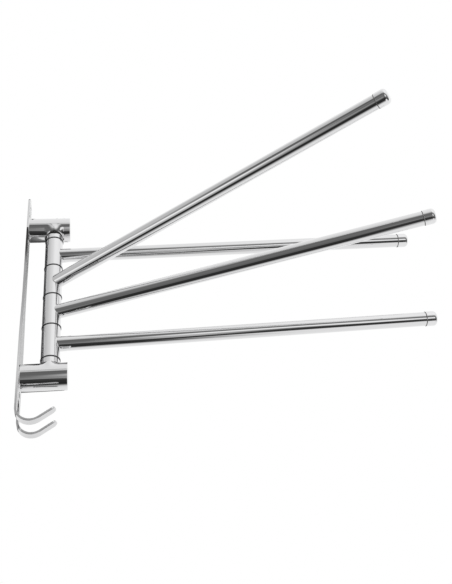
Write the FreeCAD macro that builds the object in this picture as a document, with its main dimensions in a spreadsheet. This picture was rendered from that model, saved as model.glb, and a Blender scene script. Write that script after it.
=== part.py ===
import FreeCAD, Part
import math
import os
import re

import Sketcher

# Swing arm towel rail: a bent wall plate carries two short posts, a spindle stands between the
# posts, and four sleeves turn on the spindle, each with one long arm.
# Frame: +Z up, the wall is the plane y = 0, the rail stands out towards -Y, and the origin is on
# the plate's back face, midway between the two posts.

DOC = FreeCAD.newDocument("swing_arm_towel_rail")
SHEET = DOC.addObject("Spreadsheet::Sheet", "Dims")

# Driving dimensions, in millimetres and degrees.
DIMENSIONS = [
    # wall plate, one bent sheet
    ("sheet_thickness", 2.0),
    ("plate_top_height", 122.2),
    ("plate_top_width", 17.0),
    ("plate_foot_width", 28.0),
    ("flare_top_height", 12.0),
    ("flare_foot_height", -62.0),
    ("prong_width", 7.0),
    ("slot_crown_height", -103.3),
    ("bend_height", -117.7),
    ("hook_radius", 11.5),
    ("hook_rise_angle", 34.0),
    ("hook_lip_length", 15.2),
    ("hook_tip_round", 3.3),
    ("wall_hole_diameter", 4.5),
    ("wall_hole_top_height", 112.0),
    ("wall_hole_foot_height", -98.8),
    # posts and what closes them
    ("post_span", 165.6),
    ("post_diameter", 23.0),
    ("post_wall", 1.2),
    ("post_front_reach", 39.3),
    ("plug_rim", 0.7),
    ("plug_dome", 0.8),
    ("plug_spigot_length", 5.0),
    ("plug_spigot_play", 0.05),
    # spindle column
    ("column_reach", 25.5),
    ("column_diameter", 16.0),
    ("collar_seat_play", 0.03),
    ("collar_inner_height", 3.0),
    ("spindle_diameter", 6.0),
    ("spindle_length", 174.0),
    ("spindle_chamfer", 0.6),
    ("spindle_hole_play", 0.05),
    ("nut_across_flats", 10.0),
    ("nut_height", 5.0),
    # sleeves, bushes and spacer rings
    ("sleeve_length", 32.4),
    ("sleeve_wall", 1.2),
    ("sleeve_edge_chamfer", 0.2),
    ("ring_thickness", 0.9),
    ("ring_diameter", 16.8),
    ("axial_play", 0.05),
    ("bush_length", 8.0),
    ("bush_seat_play", 0.02),
    # arms and their caps
    ("arm_diameter", 12.7),
    ("arm_wall", 0.8),
    ("arm_tip_reach", 345.8),
    ("cap_length", 10.7),
    ("cap_diameter", 13.6),
    ("cap_seat_depth", 7.1),
    ("cap_seat_play", 0.02),
    ("cap_end_round", 3.6),
    ("cap_mouth_chamfer", 0.2),
    # how far each arm is turned about +Z from straight out, from the top arm down
    ("first_arm_angle", -1.8),
    ("second_arm_angle", -39.6),
    ("third_arm_angle", -19.8),
    ("fourth_arm_angle", -2.4),
]
for row, (alias, value) in enumerate(DIMENSIONS, start=1):
    SHEET.set("A%d" % row, alias)
    SHEET.set("B%d" % row, repr(value))
    SHEET.setAlias("B%d" % row, alias)
DOC.recompute()

# Formulas of the driving dimensions that more than one piece uses.
PITCH = "( sleeve_length + ring_thickness + 2 * axial_play )"
STACK_HALF = "( 2 * %s + ring_thickness / 2 )" % PITCH
UPPER = "post_span / 2"
LOWER = "0 - post_span / 2"
SLOT_HALF = "( plate_foot_width / 2 - prong_width )"
HALF_WIDTH_MEAN = "( plate_top_width + plate_foot_width ) / 4"
FLARE_MEAN = "( flare_top_height + flare_foot_height ) / 2"

# Each arm's height, in steps of the pitch, and the dimension that turns it.
ARM_STEPS = (1.5, 0.5, -0.5, -1.5)
ARM_ANGLES = ("first_arm_angle", "second_arm_angle", "third_arm_angle", "fourth_arm_angle")
RING_STEPS = (2, 1, 0, -1, -2)

Y_AXIS = FreeCAD.Vector(0, 1, 0)
Z_AXIS = FreeCAD.Vector(0, 0, 1)
UPRIGHT = FreeCAD.Rotation()
UPSIDE_DOWN = FreeCAD.Rotation(Y_AXIS, 180)
TOLERANCE = 1e-3
SUB_PARTS = []


def dim(alias):
    """Value of a driving dimension."""
    return float(SHEET.get(alias))


def dims(formula):
    """Expression text in which each word that names a driving dimension points at its cell."""
    names = {alias for alias, _ in DIMENSIONS}

    def cell(match):
        word = match.group()
        return "Dims." + word if word in names else word

    return re.sub(r"[a-z_]+", cell, formula)


def new_body(label):
    """Empty body whose label names its file."""
    body = DOC.addObject("PartDesign::Body", label)
    body.Label = label
    SUB_PARTS.append(body)
    return body


def place(part, x="0", y="0", z="0", turn=None):
    """Puts a sub-part at its seat; turn is a rotation applied about its own origin."""
    if turn is not None:
        part.Placement = FreeCAD.Placement(FreeCAD.Vector(0, 0, 0), turn)
    for axis, formula in (("x", x), ("y", y), ("z", z)):
        part.setExpression("Placement.Base." + axis, dims(formula))


def new_sketch(body, name, role, offset="0"):
    """Sketch on one of the body's own origin planes, moved along the plane's normal."""
    plane = [item for item in body.Origin.OriginFeatures if item.Role == role][0]
    sketch = body.newObject("Sketcher::SketchObject", name)
    sketch.AttachmentSupport = [(plane, "")]
    sketch.MapMode = "FlatFace"
    sketch.setExpression("AttachmentOffset.Base.z", dims(offset))
    return sketch


def bind(sketch, constraint, formula=None):
    """Adds a constraint and ties its value to the sheet."""
    index = sketch.addConstraint(constraint)
    if formula is not None:
        sketch.setExpression("Constraints[%d]" % index, dims(formula))


def add_circle(sketch, radius, formula, centre=(0.0, 0.0), centre_formula=None):
    """Circle of a bound radius, on the origin or at a bound distance along the sketch's Y axis."""
    middle = FreeCAD.Vector(centre[0], centre[1], 0)
    circle = sketch.addGeometry(Part.Circle(middle, Z_AXIS, radius))
    bind(sketch, Sketcher.Constraint("Radius", circle, radius), formula)
    if centre_formula is None:
        bind(sketch, Sketcher.Constraint("Coincident", circle, 3, -1, 1))
    else:
        bind(sketch, Sketcher.Constraint("PointOnObject", circle, 3, -2))
        height = Sketcher.Constraint("DistanceY", -1, 1, circle, 3, centre[1])
        bind(sketch, height, centre_formula)


def add_chain(sketch, pieces, smooth=()):
    """Closed chain of lines and arcs, each joined to the next; arcs are (start, middle, end).

    smooth lists the pieces that run on into the next one without a corner.
    """
    geometry = []
    ends = []
    for points in pieces:
        corners = [FreeCAD.Vector(x, y, 0) for x, y in points]
        forward = True
        if len(corners) == 2:
            curve = Part.LineSegment(corners[0], corners[1])
        else:
            # a sketch counts every arc anticlockwise
            forward = (corners[1] - corners[0]).cross(corners[2] - corners[1]).z > 0
            curve = Part.Arc(*corners) if forward else Part.Arc(*reversed(corners))
        geometry.append(sketch.addGeometry(curve))
        ends.append((1, 2) if forward else (2, 1))
    for i, index in enumerate(geometry):
        after = (i + 1) % len(geometry)
        kind = "Tangent" if i in smooth else "Coincident"
        bind(sketch, Sketcher.Constraint(kind, index, ends[i][1], geometry[after], ends[after][0]))
    return geometry


def pad(body, sketch, length, midplane=False):
    """Pad of a bound length along the sketch's normal."""
    feature = body.newObject("PartDesign::Pad", sketch.Name + "_pad")
    feature.Profile = sketch
    feature.SideType = "Symmetric" if midplane else "One side"
    feature.setExpression("Length", dims(length))
    return feature


def pocket(body, sketch, length, midplane=False, reverse=False):
    """Pocket of a bound depth, whose effect on the volume is checked."""
    DOC.recompute()
    before = body.Shape.Volume
    feature = body.newObject("PartDesign::Pocket", sketch.Name + "_pocket")
    feature.Profile = sketch
    feature.SideType = "Symmetric" if midplane else "One side"
    feature.Reversed = reverse
    feature.setExpression("Length", dims(length))
    DOC.recompute()
    if body.Shape.Volume > before - TOLERANCE:
        raise RuntimeError("pocket %s cuts nothing" % feature.Name)


def revolve(body, sketch, role):
    """Full turn of the sketch about one of the body's own axes."""
    axis = [item for item in body.Origin.OriginFeatures if item.Role == role][0]
    feature = body.newObject("PartDesign::Revolution", sketch.Name + "_revolution")
    feature.Profile = sketch
    feature.ReferenceAxis = (axis, [""])
    feature.Angle = 360.0


def edge_names(shape, wanted):
    """Names of the edges of a shape that the test picks."""
    return ["Edge%d" % (i + 1) for i, edge in enumerate(shape.Edges) if wanted(edge)]


def dress_edges(body, kind, name, wanted, size):
    """Fillet or chamfer on the edges of the body that the test picks."""
    DOC.recompute()
    base = body.Tip
    names = edge_names(base.Shape, wanted)
    if not names:
        raise RuntimeError("no edge found for %s" % name)
    feature = body.newObject("PartDesign::" + kind, name)
    feature.Base = (base, names)
    feature.setExpression("Radius" if kind == "Fillet" else "Size", dims(size))


def is_circle(edge, radius):
    """True for a circular edge of this radius."""
    return isinstance(edge.Curve, Part.Circle) and abs(edge.Curve.Radius - radius) < TOLERANCE


def is_circle_at(edge, radius, reach):
    """True for a circular edge of this radius whose centre stands this far out along -Y."""
    return is_circle(edge, radius) and abs(edge.Curve.Center.y + reach) < TOLERANCE


def s_curve_radius(top, foot, half_top, half_foot):
    """Radius of the two equal arcs that join two upright lines in a smooth S."""
    rise = (top - foot) / 2
    step = (half_foot - half_top) / 2
    return (rise * rise + step * step) / (2 * step)


def wall_plate():
    """Bent sheet: a strip that widens downwards and splits into two prongs, bent up as hooks."""
    body = new_body("wall_plate")
    thickness = dim("sheet_thickness")
    half_top = dim("plate_top_width") / 2
    half_foot = dim("plate_foot_width") / 2
    half_mid = (half_top + half_foot) / 2
    half_slot = half_foot - dim("prong_width")
    crown = dim("slot_crown_height")
    slot_spring = crown - half_slot
    bend = dim("bend_height")
    top = dim("plate_top_height")
    flare_top = dim("flare_top_height")
    flare_foot = dim("flare_foot_height")
    flare_mid = (flare_top + flare_foot) / 2
    flare = s_curve_radius(flare_top, flare_foot, half_top, half_foot)
    # half of the sagitta angle gives a point in the middle of each flare arc
    quarter = math.asin((flare_top - flare_mid) / flare) / 2
    inset = flare * (1 - math.cos(quarter))
    drop = flare * math.sin(quarter)
    slope = math.sqrt(0.5)

    # one half of the flat outline, seen from the front, from the top centre clockwise
    outline = new_sketch(body, "plate_outline", "XZ_Plane")
    pieces = [
        ((0, top), (half_top * slope, top - half_top + half_top * slope), (half_top, top - half_top)),
        ((half_top, top - half_top), (half_top, flare_top)),
        ((half_top, flare_top), (half_top + inset, flare_top - drop), (half_mid, flare_mid)),
        ((half_mid, flare_mid), (half_foot - inset, flare_foot + drop), (half_foot, flare_foot)),
        ((half_foot, flare_foot), (half_foot, bend)),
        ((half_foot, bend), (half_slot, bend)),
        ((half_slot, bend), (half_slot, slot_spring)),
        ((half_slot, slot_spring), (half_slot * slope, slot_spring + half_slot * slope), (0, crown)),
        ((0, crown), (0, top)),
    ]
    line = add_chain(outline, pieces)
    top_arc, side, flare_a, flare_b, foot_side, prong_end, slot_side, slot_arc, centre_line = line
    for index in (side, foot_side, slot_side):
        bind(outline, Sketcher.Constraint("Vertical", index))
    bind(outline, Sketcher.Constraint("Horizontal", prong_end))
    bind(outline, Sketcher.Constraint("PointOnObject", centre_line, 1, -2))
    bind(outline, Sketcher.Constraint("PointOnObject", centre_line, 2, -2))
    bind(outline, Sketcher.Constraint("PointOnObject", top_arc, 3, -2))
    bind(outline, Sketcher.Constraint("PointOnObject", slot_arc, 3, -2))
    for index, end, span, formula in (
        (side, 1, half_top, "plate_top_width / 2"),
        (foot_side, 2, half_foot, "plate_foot_width / 2"),
        (slot_side, 1, half_slot, SLOT_HALF),
        (flare_a, 2, half_mid, HALF_WIDTH_MEAN),
    ):
        bind(outline, Sketcher.Constraint("DistanceX", -1, 1, index, end, span), formula)
    for index, end, height, formula in (
        (top_arc, 3, top - half_top, "plate_top_height - plate_top_width / 2"),
        (side, 1, top - half_top, "plate_top_height - plate_top_width / 2"),
        (slot_arc, 3, slot_spring, "slot_crown_height - " + SLOT_HALF),
        (slot_side, 2, slot_spring, "slot_crown_height - " + SLOT_HALF),
        (flare_a, 3, flare_top, "flare_top_height"),
        (flare_b, 3, flare_foot, "flare_foot_height"),
        (flare_a, 2, flare_mid, FLARE_MEAN),
        (side, 2, flare_top, "flare_top_height"),
        (foot_side, 1, flare_foot, "flare_foot_height"),
        (prong_end, 1, bend, "bend_height"),
    ):
        bind(outline, Sketcher.Constraint("DistanceY", -1, 1, index, end, height), formula)
    flat = pad(body, outline, "sheet_thickness")

    # side view of one hook: the sheet turns past the bottom and rises to its lip
    rise = math.radians(dim("hook_rise_angle"))
    turn = math.pi / 2 + rise
    radius = dim("hook_radius")
    centre = (-thickness / 2 - radius, bend)
    inner = radius - thickness / 2
    outer = radius + thickness / 2
    lip = dim("hook_lip_length")
    along = (-lip * math.cos(rise), lip * math.sin(rise))

    def on_arc(size, swept):
        return (centre[0] + size * math.cos(swept), centre[1] - size * math.sin(swept))

    outer_end = on_arc(outer, turn)
    inner_end = on_arc(inner, turn)
    outer_tip = (outer_end[0] + along[0], outer_end[1] + along[1])
    inner_tip = (inner_end[0] + along[0], inner_end[1] + along[1])
    side_view = new_sketch(body, "hook_side", "YZ_Plane", SLOT_HALF)
    chain = [
        (on_arc(outer, 0.0), on_arc(outer, turn / 2), outer_end),
        (outer_end, outer_tip),
        (outer_tip, inner_tip),
        (inner_tip, inner_end),
        (inner_end, on_arc(inner, turn / 2), on_arc(inner, 0.0)),
        (on_arc(inner, 0.0), on_arc(outer, 0.0)),
    ]
    line = add_chain(side_view, chain, smooth=(0, 3))
    outer_arc, outer_lip, tip, inner_lip, inner_arc, root = line
    bind(side_view, Sketcher.Constraint("Coincident", outer_arc, 3, inner_arc, 3))
    bind(side_view, Sketcher.Constraint("Horizontal", root))
    bind(side_view, Sketcher.Constraint("PointOnObject", root, 2, -2))
    bind(side_view, Sketcher.Constraint("Perpendicular", outer_lip, tip))
    bind(side_view, Sketcher.Constraint("Parallel", outer_lip, inner_lip))
    bind(side_view, Sketcher.Constraint("DistanceY", -1, 1, root, 2, bend), "bend_height")
    bind(side_view, Sketcher.Constraint("DistanceY", -1, 1, outer_arc, 3, bend), "bend_height")
    for arc, size, formula in (
        (outer_arc, outer, "hook_radius + sheet_thickness / 2"),
        (inner_arc, inner, "hook_radius - sheet_thickness / 2"),
    ):
        bind(side_view, Sketcher.Constraint("Radius", arc, size), formula)
    bind(side_view, Sketcher.Constraint("Distance", outer_lip, lip), "hook_lip_length")
    lip_slope = Sketcher.Constraint("Angle", outer_lip, math.pi - rise)
    bind(side_view, lip_slope, "( 180 - hook_rise_angle ) * 1 deg")
    hook = pad(body, side_view, "prong_width")

    DOC.recompute()
    mirror = body.newObject("PartDesign::Mirrored", "other_half")
    mirror.Originals = [flat, hook]
    plane = [item for item in body.Origin.OriginFeatures if item.Role == "YZ_Plane"][0]
    mirror.MirrorPlane = (plane, [""])
    body.Tip = mirror

    tip_middle = (outer_tip[0] + inner_tip[0]) / 2

    def at_tip(edge):
        across = abs(edge.Length - thickness) < TOLERANCE
        return across and abs(edge.CenterOfMass.y - tip_middle) < TOLERANCE

    dress_edges(body, "Fillet", "hook_tips", at_tip, "hook_tip_round")

    holes = new_sketch(body, "wall_holes", "XZ_Plane")
    hole_radius = dim("wall_hole_diameter") / 2
    for height in ("wall_hole_top_height", "wall_hole_foot_height"):
        add_circle(holes, hole_radius, "wall_hole_diameter / 2", (0.0, dim(height)), height)
    pocket(body, holes, "sheet_thickness * 4", midplane=True)


def post(label, height, turn):
    """Short tube standing out from the plate, open at the front, with a seat for the collar."""
    body = new_body(label)
    section = new_sketch(body, label + "_section", "XZ_Plane", "sheet_thickness")
    outer = dim("post_diameter") / 2
    add_circle(section, outer, "post_diameter / 2")
    add_circle(section, outer - dim("post_wall"), "post_diameter / 2 - post_wall")
    pad(body, section, "post_front_reach - sheet_thickness")
    seat = new_sketch(body, label + "_seat", "XY_Plane")
    seat_radius = dim("column_diameter") / 2 + dim("collar_seat_play")
    add_circle(
        seat,
        seat_radius,
        "column_diameter / 2 + collar_seat_play",
        (0.0, -dim("column_reach")),
        "0 - column_reach",
    )
    pocket(body, seat, "post_diameter")
    place(body, z=height, turn=turn)


def post_plug(label, height):
    """Domed plug pressed into a post's open end."""
    body = new_body(label)
    outer = dim("post_diameter") / 2
    rim = dim("plug_rim")
    dome = dim("plug_dome")
    spigot = outer - dim("post_wall") - dim("plug_spigot_play")
    depth = dim("plug_spigot_length")
    crown_radius = (outer * outer + dome * dome) / (2 * dome)
    half = math.asin(outer / crown_radius) / 2
    sagitta = crown_radius * (1 - math.cos(half))
    dome_middle = (crown_radius * math.sin(half), -rim - dome + sagitta)
    profile = new_sketch(body, label + "_profile", "XY_Plane")
    pieces = [
        ((0, depth), (spigot, depth)),
        ((spigot, depth), (spigot, 0)),
        ((spigot, 0), (outer, 0)),
        ((outer, 0), (outer, -rim)),
        ((outer, -rim), dome_middle, (0, -rim - dome)),
        ((0, -rim - dome), (0, depth)),
    ]
    line = add_chain(profile, pieces)
    back, wall, seat, edge, crown, axis = line
    for index in (back, seat):
        bind(profile, Sketcher.Constraint("Horizontal", index))
    for index in (wall, edge):
        bind(profile, Sketcher.Constraint("Vertical", index))
    bind(profile, Sketcher.Constraint("PointOnObject", axis, 1, -2))
    bind(profile, Sketcher.Constraint("PointOnObject", axis, 2, -2))
    bind(profile, Sketcher.Constraint("PointOnObject", crown, 3, -2))
    bind(profile, Sketcher.Constraint("PointOnObject", seat, 1, -1))
    bind(profile, Sketcher.Constraint("DistanceX", -1, 1, edge, 2, outer), "post_diameter / 2")
    spigot_formula = "post_diameter / 2 - post_wall - plug_spigot_play"
    bind(profile, Sketcher.Constraint("DistanceX", -1, 1, wall, 1, spigot), spigot_formula)
    bind(profile, Sketcher.Constraint("DistanceY", -1, 1, axis, 2, depth), "plug_spigot_length")
    bind(profile, Sketcher.Constraint("DistanceY", -1, 1, edge, 2, -rim), "0 - plug_rim")
    crown_depth = Sketcher.Constraint("DistanceY", -1, 1, axis, 1, -rim - dome)
    bind(profile, crown_depth, "0 - plug_rim - plug_dome")
    revolve(body, profile, "Y_Axis")
    place(body, y="0 - post_front_reach", z=height)


def collar(label, height, turn):
    """Fixed stub between a post and the first spacer ring, bored for the spindle."""
    body = new_body(label)
    section = new_sketch(body, label + "_section", "XY_Plane")
    add_circle(section, dim("column_diameter") / 2, "column_diameter / 2")
    bore = dim("spindle_diameter") / 2 + dim("spindle_hole_play")
    add_circle(section, bore, "spindle_diameter / 2 + spindle_hole_play")
    pad(body, section, "post_span / 2 - collar_inner_height - " + STACK_HALF)
    place(body, y="0 - column_reach", z=height, turn=turn)


def spindle():
    """Plain rod on which the sleeves turn, held by a nut inside each post."""
    body = new_body("spindle")
    section = new_sketch(body, "spindle_section", "XY_Plane")
    radius = dim("spindle_diameter") / 2
    add_circle(section, radius, "spindle_diameter / 2")
    pad(body, section, "spindle_length", midplane=True)

    def at_end(edge):
        return is_circle(edge, radius)

    dress_edges(body, "Chamfer", "spindle_ends", at_end, "spindle_chamfer")
    place(body, y="0 - column_reach")


def spindle_nut(label, height):
    """Hexagon nut inside a post, seated on the collar's inner end."""
    hexagon = DOC.addObject("Part::Prism", label + "_hexagon")
    hexagon.Polygon = 6
    hexagon.setExpression("Circumradius", dims("nut_across_flats / sqrt(3)"))
    hexagon.setExpression("Height", dims("nut_height"))
    bore = DOC.addObject("Part::Cylinder", label + "_bore")
    bore.setExpression("Radius", dims("spindle_diameter / 2"))
    bore.setExpression("Height", dims("nut_height"))
    nut = DOC.addObject("Part::Cut", label)
    nut.Base = hexagon
    nut.Tool = bore
    nut.Label = label
    SUB_PARTS.append(nut)
    place(nut, y="0 - column_reach", z=height)


def spacer_ring(label, step):
    """Thin dark ring that keeps two neighbouring sleeves apart."""
    body = new_body(label)
    section = new_sketch(body, label + "_section", "XY_Plane")
    add_circle(section, dim("ring_diameter") / 2, "ring_diameter / 2")
    bore = dim("spindle_diameter") / 2 + dim("spindle_hole_play")
    add_circle(section, bore, "spindle_diameter / 2 + spindle_hole_play")
    pad(body, section, "ring_thickness", midplane=True)
    place(body, y="0 - column_reach", z="%d * %s" % (step, PITCH))


def sleeve(label, step):
    """Tube that turns on the spindle and carries one arm."""
    body = new_body(label)
    section = new_sketch(body, label + "_section", "XY_Plane")
    outer = dim("column_diameter") / 2
    add_circle(section, outer, "column_diameter / 2")
    add_circle(section, outer - dim("sleeve_wall"), "column_diameter / 2 - sleeve_wall")
    pad(body, section, "sleeve_length", midplane=True)

    def at_rim(edge):
        return is_circle(edge, outer)

    dress_edges(body, "Chamfer", label + "_edges", at_rim, "sleeve_edge_chamfer")
    place(body, y="0 - column_reach", z="%g * %s" % (step, PITCH))


def bush(label, step, end):
    """Plastic bearing bush pressed into one end of a sleeve."""
    body = new_body(label)
    section = new_sketch(body, label + "_section", "XY_Plane")
    outer = dim("column_diameter") / 2 - dim("sleeve_wall") - dim("bush_seat_play")
    add_circle(section, outer, "column_diameter / 2 - sleeve_wall - bush_seat_play")
    bore = dim("spindle_diameter") / 2 + dim("spindle_hole_play")
    add_circle(section, bore, "spindle_diameter / 2 + spindle_hole_play")
    pad(body, section, "bush_length", midplane=True)
    inset = "( sleeve_length - bush_length ) / 2"
    place(body, y="0 - column_reach", z="%g * %s + %d * %s" % (step, PITCH, end, inset))


def arm(label, step, turn):
    """Long tube whose inner end is coped to sit on its sleeve."""
    body = new_body(label)
    section = new_sketch(body, label + "_section", "XZ_Plane")
    outer = dim("arm_diameter") / 2
    add_circle(section, outer, "arm_diameter / 2")
    add_circle(section, outer - dim("arm_wall"), "arm_diameter / 2 - arm_wall")
    pad(body, section, "arm_tip_reach - cap_length + cap_seat_depth")
    cope = new_sketch(body, label + "_cope", "XY_Plane")
    add_circle(cope, dim("column_diameter") / 2, "column_diameter / 2")
    pocket(body, cope, "arm_diameter * 2", midplane=True)
    place(body, y="0 - column_reach", z="%g * %s" % (step, PITCH), turn=turn)


def arm_cap(label, step, turn):
    """Round-ended cap pushed over an arm's free end."""
    body = new_body(label)
    disc = new_sketch(body, label + "_disc", "XZ_Plane", "arm_tip_reach - cap_length")
    outer = dim("cap_diameter") / 2
    add_circle(disc, outer, "cap_diameter / 2")
    pad(body, disc, "cap_length")
    tip = dim("arm_tip_reach")

    def at_front(edge):
        return is_circle_at(edge, outer, tip)

    dress_edges(body, "Fillet", label + "_round", at_front, "cap_end_round")
    mouth = new_sketch(body, label + "_mouth", "XZ_Plane", "arm_tip_reach - cap_length")
    bore = dim("arm_diameter") / 2 + dim("cap_seat_play")
    add_circle(mouth, bore, "arm_diameter / 2 + cap_seat_play")
    pocket(body, mouth, "cap_seat_depth", reverse=True)

    def at_mouth(edge):
        return is_circle_at(edge, outer, tip - dim("cap_length"))

    dress_edges(body, "Chamfer", label + "_lip", at_mouth, "cap_mouth_chamfer")
    place(body, y="0 - column_reach", z="%g * %s" % (step, PITCH), turn=turn)


wall_plate()
post("upper_post", UPPER, UPRIGHT)
post("lower_post", LOWER, UPSIDE_DOWN)
post_plug("upper_post_plug", UPPER)
post_plug("lower_post_plug", LOWER)
collar("upper_collar", STACK_HALF, UPRIGHT)
collar("lower_collar", "0 - " + STACK_HALF, UPSIDE_DOWN)
spindle()
spindle_nut("upper_spindle_nut", "post_span / 2 - collar_inner_height")
spindle_nut("lower_spindle_nut", "0 - post_span / 2 + collar_inner_height - nut_height")
for number, ring_step in enumerate(RING_STEPS, start=1):
    spacer_ring("spacer_ring_%d" % number, ring_step)
for number, (arm_step, arm_angle) in enumerate(zip(ARM_STEPS, ARM_ANGLES), start=1):
    swing = FreeCAD.Rotation(Z_AXIS, dim(arm_angle))
    sleeve("sleeve_%d" % number, arm_step)
    bush("bush_%d_upper" % number, arm_step, 1)
    bush("bush_%d_lower" % number, arm_step, -1)
    arm("arm_%d" % number, arm_step, swing)
    arm_cap("arm_cap_%d" % number, arm_step, swing)

DOC.recompute()
for item in DOC.Objects:
    if "Invalid" in item.State or "Error" in item.State:
        raise RuntimeError("%s did not compute: %s" % (item.Name, item.State))
os.makedirs("parts", exist_ok=True)
for part in SUB_PARTS:
    shape = part.Shape
    if shape.isNull() or not shape.isValid() or len(shape.Solids) != 1:
        raise RuntimeError("%s is not one valid solid" % part.Label)
    shape.exportStep(os.path.join("parts", part.Label + ".step"))
    box = shape.BoundBox
    size = (box.XMin, box.XMax, box.YMin, box.YMax, box.ZMin, box.ZMax)
    line = "%-18s %9.1f mm3  x %.2f %.2f  y %.2f %.2f  z %.2f %.2f"
    print(line % ((part.Label, shape.Volume) + size))
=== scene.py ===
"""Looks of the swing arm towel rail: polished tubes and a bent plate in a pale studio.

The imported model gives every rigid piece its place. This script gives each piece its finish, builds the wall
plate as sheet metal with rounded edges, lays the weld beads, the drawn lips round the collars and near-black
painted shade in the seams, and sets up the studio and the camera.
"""

import logging
import math
from dataclasses import dataclass
from enum import Enum

import bmesh
import bpy
from mathutils import Euler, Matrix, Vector
from mathutils.geometry import delaunay_2d_cdt


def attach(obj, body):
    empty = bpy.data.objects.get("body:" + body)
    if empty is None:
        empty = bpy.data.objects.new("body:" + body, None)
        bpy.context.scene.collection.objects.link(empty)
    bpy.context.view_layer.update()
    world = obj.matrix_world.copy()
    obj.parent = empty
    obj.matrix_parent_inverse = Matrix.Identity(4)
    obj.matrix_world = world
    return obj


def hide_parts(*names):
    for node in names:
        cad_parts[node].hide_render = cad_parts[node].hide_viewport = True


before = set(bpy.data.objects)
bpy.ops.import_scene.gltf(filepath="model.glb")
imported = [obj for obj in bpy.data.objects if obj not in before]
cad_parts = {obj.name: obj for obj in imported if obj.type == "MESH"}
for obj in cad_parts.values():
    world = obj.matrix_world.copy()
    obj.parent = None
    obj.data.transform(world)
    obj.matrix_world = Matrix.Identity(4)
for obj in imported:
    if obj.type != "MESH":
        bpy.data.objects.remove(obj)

LOG = logging.getLogger("towel_rail")
MM = 0.001
UP = (0.0, 0.0, 1.0)
# In millimetres: the step from one spacer ring to the next, and how far the spindle stands from the wall.
RING_PITCH = 33.4
COLUMN_REACH = 25.5
DUST_COLOUR = (0.72, 0.71, 0.69, 1.0)
# Near-black colour of the painted shade on the plate's cut edges below the welds.
WELD_SHADE_COLOUR = (0.035, 0.034, 0.033, 1.0)

Point2 = tuple[float, float]
Point3 = tuple[float, float, float]
Colour = Point3
Face = tuple[int, ...]
Node, Socket, Material = bpy.types.Node, bpy.types.NodeSocket, bpy.types.Material


def grey(value: float) -> tuple[float, ...]:
    """Returns an opaque grey."""
    return value, value, value, 1.0


# ---- Node building ----


class NodeTree:
    """Short way to place and link shader nodes in one tree."""

    # A Mix node has sockets of one name for each kind of data; these are the ones for colours.
    FIRST_COLOUR, SECOND_COLOUR, MIXED_COLOUR = 6, 7, 2

    def __init__(self, tree: bpy.types.NodeTree) -> None:
        """Holds the tree that the nodes go into."""
        self.tree = tree

    def add(self, kind: str, **settings: object) -> Node:
        """Places one node.

        Args:
            kind: The node's type name.
            settings: Properties of the node to set.

        Returns:
            The new node.
        """
        node = self.tree.nodes.new(kind)
        for name, value in settings.items():
            setattr(node, name, value)
        return node

    def feed(self, node: Node, **inputs: object) -> Node:
        """Sets or links a node's inputs by name, with underscores for spaces.

        Args:
            node: The node whose inputs are set.
            inputs: A socket to link, or a plain value to set.

        Returns:
            The same node.
        """
        for name, value in inputs.items():
            self.plug(node.inputs[name.replace("_", " ")], value)
        return node

    def plug(self, socket: Socket, value: object) -> None:
        """Links a socket to another one, or sets its plain value.

        Args:
            socket: The input to feed.
            value: The socket to link from, or the plain value.
        """
        if isinstance(value, Socket):
            self.tree.links.new(value, socket)
        else:
            socket.default_value = value

    def fill(self, node: Node, values: tuple[object, ...]) -> Node:
        """Sets or links a node's inputs in order.

        Args:
            node: The node whose inputs are set.
            values: For each input the socket to link from, or the plain value.

        Returns:
            The same node.
        """
        for socket, value in zip(node.inputs, values):
            self.plug(socket, value)
        return node

    def maths(self, operation: str, *values: object) -> Socket:
        """Result of a Math node with these inputs."""
        return self.fill(self.add("ShaderNodeMath", operation=operation), values).outputs[0]

    def vector(self, operation: str, *values: object) -> Node:
        """Places a Vector Math node with these inputs."""
        return self.fill(self.add("ShaderNodeVectorMath", operation=operation), values)

    def smooth_step(self, value: object, low: object, high: object) -> Socket:
        """Value that rises smoothly from 0 to 1 as the input goes from low to high, either way."""
        node = self.add("ShaderNodeMapRange", interpolation_type="SMOOTHSTEP")
        return self.feed(node, Value=value, From_Min=low, From_Max=high).outputs["Result"]

    def split(self, vector: object) -> Node:
        """Places a node that splits a vector into X, Y and Z."""
        return self.feed(self.add("ShaderNodeSeparateXYZ"), Vector=vector)

    def noise(self, vector: object, scale: object, detail: float, **inputs: object) -> Socket:
        """Value of a Noise Texture with this many spots in a metre and this many finer layers."""
        node = self.add("ShaderNodeTexNoise", noise_dimensions="3D")
        return self.feed(node, Vector=vector, Scale=scale, Detail=detail, **inputs).outputs["Fac"]

    def mix(self, factor: object, first: object, second: object) -> Socket:
        """Places a Mix node for colours.

        Args:
            factor: The second colour's share.
            first: The first colour.
            second: The second colour.

        Returns:
            The mixed colour.
        """
        node = self.add("ShaderNodeMix", data_type="RGBA")
        self.plug(node.inputs["Factor"], factor)
        self.plug(node.inputs[self.FIRST_COLOUR], first)
        self.plug(node.inputs[self.SECOND_COLOUR], second)
        return node.outputs[self.MIXED_COLOUR]

    def bump(self, height: object, strength: float, distance: float) -> Socket:
        """Normal that a Bump node turns by a height, whose input 1 stands for the distance in metres."""
        node = self.add("ShaderNodeBump")
        return self.feed(node, Height=height, Strength=strength, Distance=distance).outputs["Normal"]


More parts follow.
